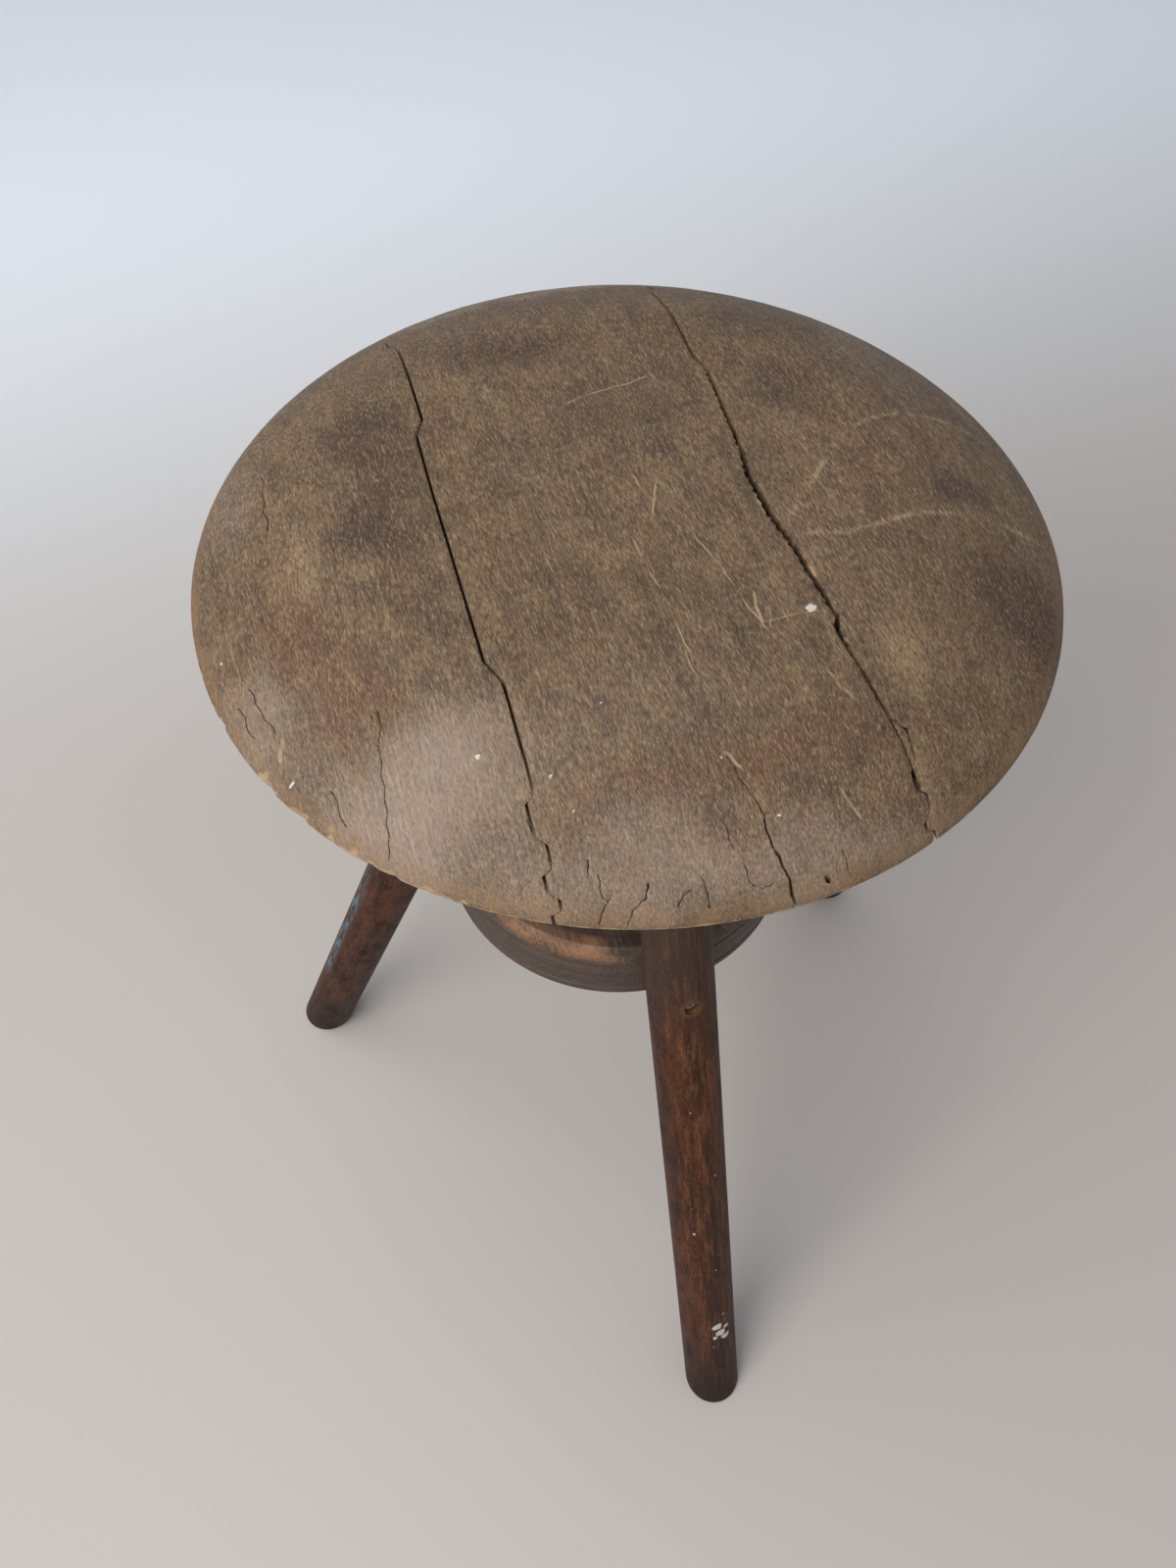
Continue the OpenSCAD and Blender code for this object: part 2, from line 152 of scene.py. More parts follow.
# Scratches: start, end, width.
SCRATCHES = [((-9, -26), (-6.5, -58), 0.35), ((-6.5, -58), (-6, -92), 0.3), ((14, -28), (20, -66), 0.3),
             ((20, -66), (23, -86), 0.4), ((25, -66), (22, -84), 0.55), ((29, -74), (24, -85), 0.3),
             ((22, -81), (46, -82), 0.35), ((-12, 52), (34, 60), 0.4), ((-5, -133), (-9, -126), 0.7),
             ((12, 0), (2, -22), 0.45), ((2, 6), (6, -14), 0.35), ((36, -106), (44, -122), 0.7),
             ((26, -146), (31, -158), 0.5), ((100, -143), (98, -151), 0.7), ((-74, -106), (-70, -101), 0.6),
             ((-68, -100), (-70, -106), 0.8), ((-148, -63), (-152, -72), 0.9), ((-44, -6), (-40, -40), 0.25),
             ((-8, -84), (-7, -110), 0.3)]
# Specks of pale paint: x, y, radius.
PAINT_SPECKS = [(42, -80, 2.0), (-87, -102, 1.0), (-66, -117, 0.6), (-62, -130, 0.5), (-150, -80, 0.8),
                (3, -150, 0.5), (-10, -128, 0.5), (-42, -98, 0.4), (-165, -20, 0.6)]


# ---- small helpers ----

def rgb(red, green, blue):
    """A colour given as screen values up to 255, as Blender's linear values."""
    linear = []
    for value in (red, green, blue):
        c = value / 255
        linear.append(c / 12.92 if c <= 0.04045 else ((c + 0.055) / 1.055) ** 2.4)
    return (*linear, 1)


def value_noise(points, cell, seed):
    """Smooth numbers from -1 to 1 at each point (n, 3), on a lattice of cell's sizes."""
    table = np.random.RandomState(seed).uniform(-1, 1, 4096)
    q = points / np.asarray(cell, float)
    low = np.floor(q).astype(np.int64)
    part = q - low
    part = part * part * (3 - 2 * part)
    total = np.zeros(len(points))
    for corner in np.ndindex(2, 2, 2):
        at = low + corner
        spot = (at[:, 0] * 73856093) ^ (at[:, 1] * 19349663) ^ (at[:, 2] * 83492791)
        share = np.ones(len(points))
        for k in range(3):
            share = share * (part[:, k] if corner[k] else 1 - part[:, k])
        total += share * table[spot & 4095]
    return total


def distance_to_course(points, course):
    """Distance from each point (n, 2) to a chain of segments."""
    best = np.full(len(points), 1e9)
    for start, end in zip(course[:-1], course[1:]):
        a = np.array(start, float)
        along = np.array(end, float) - a
        share = np.clip(((points - a) @ along) / (along @ along), 0, 1)
        gap = points - a - share[:, None] * along
        best = np.minimum(best, np.hypot(gap[:, 0], gap[:, 1]))
    return best


def blots(points, spots):
    """Sum of soft patches with uneven edges at points (n, 3)."""
    shift = np.stack([
        5 * value_noise(points, (16, 30, 20), 11) + 2.5 * value_noise(points, (5, 12, 20), 12),
        8 * value_noise(points, (16, 30, 20), 13) + 4 * value_noise(points, (6, 14, 20), 14)], 1)
    at = points[:, :2] + shift
    total = np.zeros(len(points))
    for x, y, half_x, half_y, strength in spots:
        d = ((at[:, 0] - x) / half_x) ** 2 + ((at[:, 1] - y) / half_y) ** 2
        total += strength * np.exp(-d ** 1.4)
    return np.clip(total, 0, 1.5)


def mesh_object(name, vertices, faces):
    """A new object from points in millimetres in the row frame."""
    mesh = bpy.data.meshes.new(name)
    mesh.from_pydata((np.asarray(vertices, float) * MM).tolist(), [], faces)
    mesh.validate()
    obj = bpy.data.objects.new(name, mesh)
    bpy.context.scene.collection.objects.link(obj)
    return obj


def mesh_points(mesh):
    """All vertices of a mesh in millimetres, as an (n, 3) array."""
    flat = np.zeros(len(mesh.vertices) * 3)
    mesh.vertices.foreach_get("co", flat)
    return flat.reshape(-1, 3) / MM


# ---- node materials ----

class Shader:
    """A node material, with short ways to add nodes. Its lengths are millimetres."""

    def __init__(self, name):
        self.material = bpy.data.materials.new(name)
        self.material.use_nodes = True
        self.tree = self.material.node_tree
        self.bsdf = self.tree.nodes["Principled BSDF"]
        coordinates = self.tree.nodes.new("ShaderNodeTexCoord")
        self.place = self.scale(coordinates.outputs["Object"], 1 / MM)

    def node(self, kind, **settings):
        node = self.tree.nodes.new("ShaderNode" + kind)
        for key, value in settings.items():
            setattr(node, key, value)
        return node

    def feed(self, socket, value):
        if isinstance(value, bpy.types.NodeSocket):
            self.tree.links.new(value, socket)
        else:
            socket.default_value = value

    def math(self, operation, *values, clamp=False):
        node = self.node("Math", operation=operation, use_clamp=clamp)
        for socket, value in zip(node.inputs, values):
            self.feed(socket, value)
        return node.outputs[0]

    def vector(self, operation, *values):
        node = self.node("VectorMath", operation=operation)
        for socket, value in zip(node.inputs, values):
            self.feed(socket, value)
        return node

    def scale(self, vector, factor):
        node = self.node("VectorMath", operation="SCALE")
        self.feed(node.inputs[0], vector)
        self.feed(node.inputs["Scale"], factor)
        return node.outputs[0]

    def move(self, vector, offset):
        return self.vector("ADD", vector, offset).outputs[0]

    def noise(self, at, size, detail=2.0, roughness=0.5, distortion=0.0):
        """Noise around 0.5 whose features are about size (x, y, z) across."""
        node = self.node("TexNoise")
        self.feed(node.inputs["Vector"], self.vector("DIVIDE", at, size).outputs[0])
        self.feed(node.inputs["Scale"], 1.0)
        self.feed(node.inputs["Detail"], detail)
        self.feed(node.inputs["Roughness"], roughness)
        self.feed(node.inputs["Distortion"], distortion)
        return node.outputs[0]

    def wobble(self, at, size):
        """Noise in three channels, each from about -0.5 to 0.5."""
        node = self.node("TexNoise")
        self.feed(node.inputs["Vector"], self.scale(at, 1 / size))
        self.feed(node.inputs["Scale"], 1.0)
        return self.move(node.outputs["Color"], (-0.5, -0.5, -0.5))

    def fit(self, value, low, high, to_low=0.0, to_high=1.0):
        """Maps low..high smoothly on to to_low..to_high."""
        node = self.node("MapRange", interpolation_type="SMOOTHSTEP")
        for socket, number in zip(node.inputs, (value, low, high, to_low, to_high)):
            self.feed(socket, number)
        return node.outputs[0]

    def mix(self, amount, first, second, blend="MIX"):
        node = self.node("Mix", data_type="RGBA", blend_type=blend)
        self.feed(node.inputs[0], amount)
        self.feed(node.inputs[6], first)
        self.feed(node.inputs[7], second)
        return node.outputs[2]

    def attribute(self, name):
        return self.node("Attribute", attribute_name=name).outputs["Fac"]

    def axes(self, vector):
        node = self.node("SeparateXYZ")
        self.feed(node.inputs[0], vector)
        return node.outputs

    def stroke(self, at, start, end, width):
        """1 on a thin line from start to end on the plane z = 0, else 0."""
        a = Vector((*start, 0))
        along = Vector((*end, 0)) - a
        length = along.length
        along.normalize()
        across = Vector((-along.y, along.x, 0))
        rel = self.move(at, -a)
        u = self.vector("DOT_PRODUCT", rel, along).outputs["Value"]
        v = self.vector("DOT_PRODUCT", rel, across).outputs["Value"]
        middle = self.math("ABSOLUTE", self.math("SUBTRACT", u, length / 2))
        narrow = self.fit(middle, length * 0.3, length / 2, width, 0.0)
        return self.math("GREATER_THAN", narrow, self.math("ABSOLUTE", v))

    def spot(self, at, centre, radius):
        """A round spot with a ragged edge, 1 inside."""
        gap = self.vector("DISTANCE", at, centre).outputs["Value"]
        return self.fit(gap, radius * 1.1, radius * 0.8)

    def most(self, values):
        """The largest of several values."""
        total = values[0]
        for value in values[1:]:
            total = self.math("MAXIMUM", total, value)
        return total

    def bump(self, height, distance, strength=1.0, normal=None):
        node = self.node("Bump")
        self.feed(node.inputs["Strength"], strength)
        self.feed(node.inputs["Distance"], distance * MM)
        self.feed(node.inputs["Height"], height)
        if normal is not None:
            self.feed(node.inputs["Normal"], normal)
        return node.outputs[0]

    def finish(self, colour, roughness, normal, metallic=None, gloss=0.5):
        self.bsdf.inputs["Specular IOR Level"].default_value = gloss
        self.feed(self.bsdf.inputs["Base Color"], colour)
        self.feed(self.bsdf.inputs["Roughness"], roughness)
        self.feed(self.bsdf.inputs["Normal"], normal)
        if metallic is not None:
            self.feed(self.bsdf.inputs["Metallic"], metallic)
        return self.material


def seat_wood():
    """Weathered grey-brown seat wood, with stains, wear, scratches and paint specks, and with painted sheen and
    painted shade.
    """
    s = Shader("seat_wood")
    at = s.move(s.place, (-AXIS.x, -AXIS.y, -SEAT_Z))
    x, _, height = s.axes(at)
    flat = s.vector("MULTIPLY", at, (1, 1, 0)).outputs[0]
    bend = s.vector("MULTIPLY", s.wobble(flat, 14.0), (3.5, 3.5, 0)).outputs[0]
    bent = s.move(flat, bend)

    fibre = s.noise(at, (0.6, 3.0, 1.0), 4, 0.65)
    fleck = s.noise(s.move(at, (40, 7, 3)), (0.7, 1.7, 1.1), 2, 0.6)
    thread = s.noise(s.move(at, (3, 90, 1)), (0.5, 8, 1.6), 2, 0.6)
    streak = s.noise(at, (2.2, 34, 6), 3, 0.55, 0.3)
    band = s.noise(at, (11, 120, 20), 3, 0.55, 0.5)
    mottle = s.noise(at, (16, 22, 16), 4, 0.6)
    grime = s.noise(s.move(at, (9, 70, 0)), (6, 13, 7), 3, 0.55)

    colour = s.mix(s.fit(mottle, 0.3, 0.7), rgb(76, 60, 44), rgb(112, 91, 66))
    colour = s.mix(s.fit(band, 0.35, 0.7, 0, 0.5), colour, rgb(98, 73, 50))
    colour = s.mix(s.fit(streak, 0.45, 0.75, 0, 0.35), colour, rgb(140, 116, 88))

    uneven = s.math("MULTIPLY", s.math("SUBTRACT", mottle, 0.5), 0.9)
    red = s.math("ADD", s.attribute("red"), uneven)
    colour = s.mix(s.fit(red, 0.15, 1.0, 0, 0.5), colour, rgb(96, 63, 42))
    pale = s.math("SUBTRACT", s.attribute("pale"), uneven)
    colour = s.mix(s.fit(pale, 0.2, 1.15, 0, 0.6), colour, rgb(152, 128, 92))
    # dark stains, and painted shade over the right and far parts of the seat
    dark = s.math("ADD", s.attribute("dark"), uneven)
    colour = s.mix(s.fit(dark, 0.2, 1.1, 0, 0.75), colour, rgb(62, 46, 36))
    # painted sheen: a greyish reflection of light painted on to the seat
    colour = s.mix(s.fit(s.attribute("painted_sheen"), 0.0, 1.2, 0, 0.65), colour, rgb(150, 133, 119))
    ring = s.math("MULTIPLY", s.attribute("ring"), s.fit(grime, 0.38, 0.6, 0.1, 0.9))
    ring = s.math("MULTIPLY", ring, s.fit(fibre, 0.38, 0.6, 0.45, 1.0))
    colour = s.mix(ring, colour, rgb(152, 130, 100))

    # short dark and light fibres over the whole face, weaker under the painted sheen
    plain = s.fit(s.attribute("painted_sheen"), 0.2, 1.0, 1.0, 0.45)
    weak = s.math("MULTIPLY", s.fit(fibre, 0.3, 0.56, 0.85, 0.0), plain)
    colour = s.mix(weak, colour, s.mix(0.9, colour, rgb(40, 28, 21)))
    colour = s.mix(s.fit(fibre, 0.52, 0.7, 0.0, 0.46), colour, rgb(168, 142, 108))
    colour = s.mix(s.fit(thread, 0.58, 0.72, 0.0, 0.25), colour, rgb(186, 160, 124))
    colour = s.mix(s.math("MULTIPLY", s.fit(fleck, 0.6, 0.7, 0.0, 0.5), plain), colour, rgb(52, 36, 28))
    colour = s.mix(s.fit(grime, 0.52, 0.75, 0.0, 0.28), colour, rgb(66, 48, 37))
    colour = s.mix(s.fit(grime, 0.48, 0.3, 0.0, 0.08), colour, rgb(148, 122, 86))

    # fine ribs left by the saw on the shoulder that faces front and left
    wander = s.math("MULTIPLY", s.math("SUBTRACT", streak, 0.5), 5.0)
    ribs = s.math("SINE", s.math("MULTIPLY", s.math("ADD", x, wander), 2 * math.pi / 2.3))
    ribs = s.math("MULTIPLY", s.fit(ribs, 0.3, 1.0), s.attribute("ribbed"))
    ribs = s.math("MULTIPLY", ribs, s.fit(grime, 0.35, 0.6, 0.15, 1.0))
    colour = s.mix(s.math("MULTIPLY", ribs, 0.16), colour, rgb(196, 178, 162))

    # bare wood along the lower edge of the rim, the joints' lips and the chips
    bare = s.math("ADD", s.attribute("bare"), s.math("MULTIPLY", s.math("SUBTRACT", grime, 0.5), 1.2))
    colour = s.mix(s.fit(bare, 0.35, 0.85, 0, 0.8), colour, rgb(172, 146, 108))
    brown_band = s.math("MULTIPLY", s.fit(height, 9, 4), s.fit(height, 1.2, 2.4))
    brown_band = s.math("MULTIPLY", brown_band, s.fit(grime, 0.35, 0.65, 0.2, 0.5))
    colour = s.mix(brown_band, colour, rgb(134, 102, 70))

    scratch = s.most([s.stroke(bent, *line) for line in SCRATCHES])
    scratch = s.math("MULTIPLY", scratch, s.fit(grime, 0.35, 0.6, 0.15, 1.0))
    colour = s.mix(s.math("MULTIPLY", scratch, 0.5), colour, rgb(180, 152, 116))
    ragged = s.move(flat, s.vector("MULTIPLY", s.wobble(flat, 1.3), (3.0, 2.2, 0)).outputs[0])
    specks = s.most([s.spot(ragged, (px, py, 0), r) for px, py, r in PAINT_SPECKS])
    colour = s.mix(s.math("MULTIPLY", specks, 0.8), colour, rgb(200, 196, 190))

    # a small knot near the left rim
    knot = s.vector("DISTANCE", flat, (*KNOT, 0)).outputs["Value"]
    ring = s.math("MULTIPLY", s.fit(knot, 3.4, 2.2), s.fit(knot, 0.9, 1.6))
    colour = s.mix(s.math("MULTIPLY", ring, 0.6), colour, rgb(70, 42, 28))

    # the underside, and the walls of the joints and cracks, in a darker unworn colour; on the walls of the joints
    # and cracks it is painted shade
    under = s.fit(height, 0.35, 0.1)
    inner = s.math("MAXIMUM", under, s.attribute("inner"))
    shade_and_underside_colour = s.mix(s.fit(streak, 0.3, 0.7), rgb(58, 43, 33), rgb(84, 66, 51))
    colour = s.mix(s.math("MULTIPLY", inner, 0.85), colour, shade_and_underside_colour)

    rough = s.fit(s.math("ADD", mottle, s.math("MULTIPLY", fibre, 0.3)), 0.35, 0.9, 0.52, 0.76)
    relief = s.math("ADD", s.math("MULTIPLY", fibre, 1.3), s.math("MULTIPLY", streak, 0.6))
    relief = s.math("ADD", relief, s.math("MULTIPLY", ribs, 0.3))
    relief = s.math("SUBTRACT", relief, s.math("MULTIPLY", scratch, 0.5))
    normal = s.bump(relief, 0.2, 0.9, s.bump(mottle, 1.0, 0.4))
    return s.finish(colour, rough, normal, gloss=0.36)


def leg_turn(name):
    """The rotation of a leg's own frame: +Z up along the leg, +X away from the axis."""
    out = FEET[name.replace("leg", "foot")] - AXIS
    return Matrix.Rotation(math.atan2(out.y, out.x), 3, "Z") @ Matrix.Rotation(
        math.radians(-LEG_SPLAY[name]), 3, "Y")


def leg_wood(name, seed, specks=(), blue=False, halo=None):
    """Dark red-brown stained leg, worn in streaks along its length."""
    s = Shader(name + "_wood")
    to_leg = leg_turn(name).inverted()
    mapping = s.node("Mapping", vector_type="POINT")
    s.feed(mapping.inputs["Vector"], s.place)
    mapping.inputs["Rotation"].default_value = to_leg.to_euler("XYZ")
    mapping.inputs["Location"].default_value = -(to_leg @ FEET[name.replace("leg", "foot")])
    at = mapping.outputs[0]
    x, y, along = s.axes(at)
    shifted = s.move(at, (seed * 31, seed * 17, seed * 53))

    fibre = s.noise(shifted, (0.7, 0.7, 5), 3, 0.65)
    pore = s.noise(s.move(shifted, (5, 5, 5)), (0.55, 0.55, 4), 2, 0.5)
    streak = s.noise(shifted, (3.2, 3.2, 30), 4, 0.65, 0.3)
    band = s.noise(shifted, (11, 11, 70), 3, 0.55, 0.4)
    blot = s.noise(shifted, (9, 9, 19), 5, 0.7)

    colour = s.mix(s.fit(band, 0.32, 0.68), rgb(48, 27, 16), rgb(80, 43, 23))
    colour = s.mix(s.fit(streak, 0.42, 0.74, 0, 0.55), colour, rgb(112, 60, 30))
    colour = s.mix(s.fit(blot, 0.46, 0.66, 0, 0.8), colour, rgb(36, 22, 15))
    worn = s.math("MULTIPLY", s.fit(x, 9, 17), s.fit(s.math("ADD", blot, streak), 0.92, 1.25))
    colour = s.mix(s.math("MULTIPLY", worn, 0.55), colour, rgb(134, 84, 52))
    colour = s.mix(s.fit(fibre, 0.6, 0.34, 0, 0.6), colour, rgb(28, 18, 14))
    colour = s.mix(s.fit(fibre, 0.6, 0.8, 0, 0.4), colour, rgb(140, 94, 64))
    colour = s.mix(s.fit(pore, 0.64, 0.72, 0, 0.6), colour, rgb(24, 16, 13))
    flecks = s.fit(s.noise(s.move(shifted, (2, 9, 4)), (0.8, 0.8, 1.8), 2, 0.6), 0.62, 0.7)
    colour = s.mix(s.math("MULTIPLY", flecks, 0.4), colour, rgb(150, 110, 76))
    # greyer towards the top, darker and dirtier at the foot
    colour = s.mix(s.fit(along, 330, 430, 0, 0.55), colour, rgb(72, 60, 52))
    dirt = s.fit(s.math("ADD", along, s.math("MULTIPLY", blot, 60)), 120, 40, 0, 0.75)
    colour = s.mix(dirt, colour, rgb(30, 24, 21))
    scuff = s.fit(s.noise(shifted, (2, 2, 5), 4, 0.7), 0.66, 0.74)
    scuff = s.math("MULTIPLY", scuff, s.fit(blot, 0.45, 0.6))
    colour = s.mix(s.math("MULTIPLY", scuff, 0.55), colour, rgb(168, 140, 112))
    if blue:
        ragged = s.noise(shifted, (4, 4, 14), 3, 0.6)
        stripe = s.math("MULTIPLY", s.fit(y, 3, 5), s.fit(y, 13, 9))
        stripe = s.math("MULTIPLY", stripe, s.fit(x, 4, 8))
        reach = s.math("MULTIPLY", s.fit(along, 80, 120), s.fit(along, 290, 220))
        stripe = s.math("MULTIPLY", stripe, reach)
        stripe = s.math("MULTIPLY", stripe, s.fit(ragged, 0.4, 0.55))
        colour = s.mix(s.math("MULTIPLY", stripe, 0.8), colour, rgb(84, 116, 130))
    if specks:
        ragged = s.move(at, s.scale(s.wobble(at, 3.0), 4.0))
        paint = s.most([s.spot(ragged, centre, r) for *centre, r in specks])
        colour = s.mix(s.math("MULTIPLY", paint, 0.85), colour, rgb(204, 202, 198))
    if halo:
        ring = s.vector("DISTANCE", at, halo).outputs["Value"]
        colour = s.mix(s.fit(ring, 7.5, 4.5, 0, 0.35), colour, rgb(118, 82, 50))
    rough = s.fit(s.math("ADD", blot, s.math("MULTIPLY", fibre, 0.4)), 0.4, 1.0, 0.44, 0.68)
    relief = s.math("ADD", fibre, s.math("MULTIPLY", streak, 1.2))
    normal = s.bump(relief, 0.22, 0.8, s.bump(blot, 1.2, 0.35))
    return s.finish(colour, rough, normal, gloss=0.17)


def turned_wood(name, top_z, worn_low, worn_high, seed):
    """Old dark wood turned on a lathe, worn orange round its upper corner."""
    s = Shader(name)
    at = s.move(s.place, (-AXIS.x, -AXIS.y, -top_z))
    z = s.axes(at)[2]
    radius = s.vector("LENGTH", s.vector("MULTIPLY", at, (1, 1, 0)).outputs[0]).outputs["Value"]
    lathe = s.node("CombineXYZ")
    s.feed(lathe.inputs[0], radius)
    s.feed(lathe.inputs[2], z)
    tool_marks = s.noise(s.move(lathe.outputs[0], (seed, 0, 0)), (0.9, 1, 0.9), 3, 0.6)
    rings = s.noise(s.move(lathe.outputs[0], (seed, 3, 0)), (5, 1, 4), 3, 0.5)
    grain = s.noise(s.move(at, (seed * 13, 0, 0)), (1.4, 16, 2.2), 3, 0.6, 0.4)
    blot = s.noise(s.move(at, (0, seed * 11, 0)), (24, 24, 12), 4, 0.6)
    fine = s.noise(at, (1.0, 1.0, 1.0), 3, 0.6)

    colour = s.mix(s.fit(blot, 0.3, 0.7), rgb(50, 40, 35), rgb(80, 64, 54))
    colour = s.mix(s.fit(grain, 0.4, 0.7, 0, 0.4), colour, rgb(108, 84, 66))
    colour = s.mix(s.fit(rings, 0.55, 0.7, 0, 0.5), colour, rgb(44, 35, 31))
    corner = s.math("MULTIPLY", s.fit(radius, worn_low, worn_low + 5), s.fit(z, worn_high - 7, worn_high))
    broad = s.noise(at, (60, 60, 30), 2, 0.5)
    patchy = s.fit(s.math("ADD", broad, s.math("MULTIPLY", grain, 0.3)), 0.52, 0.74)
    colour = s.mix(s.math("MULTIPLY", s.math("MULTIPLY", corner, patchy), 0.8), colour, rgb(160, 118, 84))
    colour = s.mix(s.fit(tool_marks, 0.6, 0.75, 0, 0.35), colour, rgb(132, 112, 96))
    colour = s.mix(s.fit(fine, 0.6, 0.8, 0, 0.5), colour, rgb(36, 28, 25))
    # darker in blotches on the top face and its upper 3 mm
    darker_top = s.math("MULTIPLY", s.fit(z, -3, 0), s.fit(blot, 0.35, 0.6, 0.2, 0.7))
    colour = s.mix(s.math("MULTIPLY", darker_top, 0.4), colour, rgb(46, 40, 37))
    rough = s.fit(blot, 0.3, 0.7, 0.42, 0.66)
    relief = s.math("ADD", s.math("MULTIPLY", tool_marks, 1.0), s.math("MULTIPLY", grain, 0.7))
    normal = s.bump(relief, 0.25, 0.8, s.bump(fine, 0.1, 0.5))
    return s.finish(colour, rough, normal, gloss=0.35)


def end_grain():
    """Pale wedges and peg ends, darkened by handling."""
    s = Shader("peg_wood")
    at = s.place
    grain = s.noise(at, (0.7, 0.7, 3.0), 3, 0.6)
    pores = s.noise(at, (0.4, 0.4, 0.4), 2, 0.6)
    blot = s.noise(at, (3.5, 3.5, 3.5), 3, 0.6)
    colour = s.mix(s.fit(grain, 0.3, 0.7), rgb(54, 34, 23), rgb(84, 56, 37))
    colour = s.mix(s.fit(blot, 0.54, 0.62, 0, 0.7), colour, rgb(150, 122, 88))
    colour = s.mix(s.fit(pores, 0.62, 0.72, 0, 0.6), colour, rgb(58, 38, 26))
    return s.finish(colour, s.fit(blot, 0.3, 0.7, 0.5, 0.75), s.bump(grain, 0.2, 0.8))


def cast_iron():
    """Sand-cast iron under old black paint, rusting through."""
    s = Shader("cast_iron")
    skin = s.noise(s.place, (1.0, 1.0, 1.0), 4, 0.65)
    lumps = s.noise(s.place, (6, 6, 6), 3, 0.5)
    rust = s.noise(s.move(s.place, (50, 20, 10)), (9, 9, 9), 5, 0.7)
    fine = s.noise(s.place, (0.5, 0.5, 0.5), 2, 0.5)
    colour = s.mix(s.fit(lumps, 0.3, 0.7), rgb(38, 36, 35), rgb(54, 51, 49))
    rusty = s.mix(s.fit(fine, 0.4, 0.6), rgb(92, 52, 32), rgb(122, 74, 46))
    colour = s.mix(s.fit(rust, 0.54, 0.68, 0, 0.85), colour, rusty)
    colour = s.mix(s.fit(skin, 0.6, 0.75, 0, 0.3), colour, rgb(88, 84, 80))
    rough = s.fit(rust, 0.45, 0.65, 0.48, 0.85)
    normal = s.bump(skin, 0.35, 0.8, s.bump(lumps, 0.8, 0.5))
    return s.finish(colour, rough, normal, s.fit(rust, 0.6, 0.5, 0.0, 0.35))


def oiled_steel(name, dark, light, rust_from):
    """Steel darkened by old oil, with rust where it isn't rubbed."""
    s = Shader(name)
    at = s.move(s.place, (-AXIS.x, -AXIS.y, 0))
    wear = s.noise(at, (5, 5, 12), 4, 0.6)
    scratch = s.noise(at, (2.5, 2.5, 0.25), 3, 0.6)
    rust = s.noise(s.move(at, (30, 8, 0)), (4, 4, 7), 4, 0.7)
    colour = s.mix(s.fit(wear, 0.3, 0.7), dark, light)
    colour = s.mix(s.fit(rust, rust_from, rust_from + 0.16, 0, 0.8), colour, rgb(94, 58, 38))
    rough = s.fit(s.math("ADD", wear, s.math("MULTIPLY", rust, 0.6)), 0.5, 1.1, 0.28, 0.66)
    normal = s.bump(s.math("ADD", scratch, wear), 0.06, 0.7)
    return s.finish(colour, rough, normal, s.fit(rust, rust_from + 0.14, rust_from, 0.25, 1.0))


# ---- the seat's boards ----

def hump(value, middle, width):
    """1 where value is at middle, falling to 0 over about twice width on both sides."""
    return np.exp(-((value - middle) / width) ** 2)


def course_x(course, y):
    """Where a course that runs from front to back crosses y."""
    return np.interp(y, [point[1] for point in course], [point[0] for point in course])


def seat_object(name, points, faces):
    """A new object from points measured from the screw's axis and the seat's underside."""
    return mesh_object(name, np.array(points) + SEAT_ORIGIN, faces)


def dome_profile(t):
    """Radius and height of the dome at t, which is 0 in the middle and 1 at the rim."""
    inner = np.clip(t / SHOULDER_START, 0, 1)
    turn = np.clip((t - SHOULDER_START) / (1 - SHOULDER_START), 0, 1) * math.pi / 2
    angle = math.pi / 2 - turn
    power = 2 / DOME_POWER
    shoulder_r = DOME_FLAT_R + (SEAT_R - DOME_FLAT_R) * np.cos(angle) ** power
    shoulder_h = ARRIS_H + (DOME_H - CROWN - ARRIS_H) * np.sin(angle) ** power
    on_top = t <= SHOULDER_START
    radius = np.where(on_top, inner * DOME_FLAT_R, shoulder_r)
    height = np.where(on_top, DOME_H - CROWN * inner ** 2, shoulder_h)
    return radius, height


def dome_height(radius):
    """Height of the dome over the seat's underside at a radius."""
    t = np.linspace(0, 1, 2000)
    r, z = dome_profile(t)
    return np.interp(radius, r, z)


def disc_grid(cells):
    """A square grid bent to a disc: each point's share of the way to the rim, and its angle."""
    side = np.linspace(-1, 1, cells + 1)
    a, b = np.meshgrid(side, side, indexing="ij")
    flip = np.abs(a) < np.abs(b)
    main = np.where(flip, b, a)
    other = np.where(flip, a, b)
    ratio = np.divide(other, main, out=np.zeros_like(other), where=main != 0)
    turn = math.pi / 4 * ratio
    sign = np.sign(main)
    x = np.where(flip, np.sin(turn), np.cos(turn)) * sign
    y = np.where(flip, np.cos(turn), np.sin(turn)) * sign
    return np.abs(main), np.arctan2(y, x)


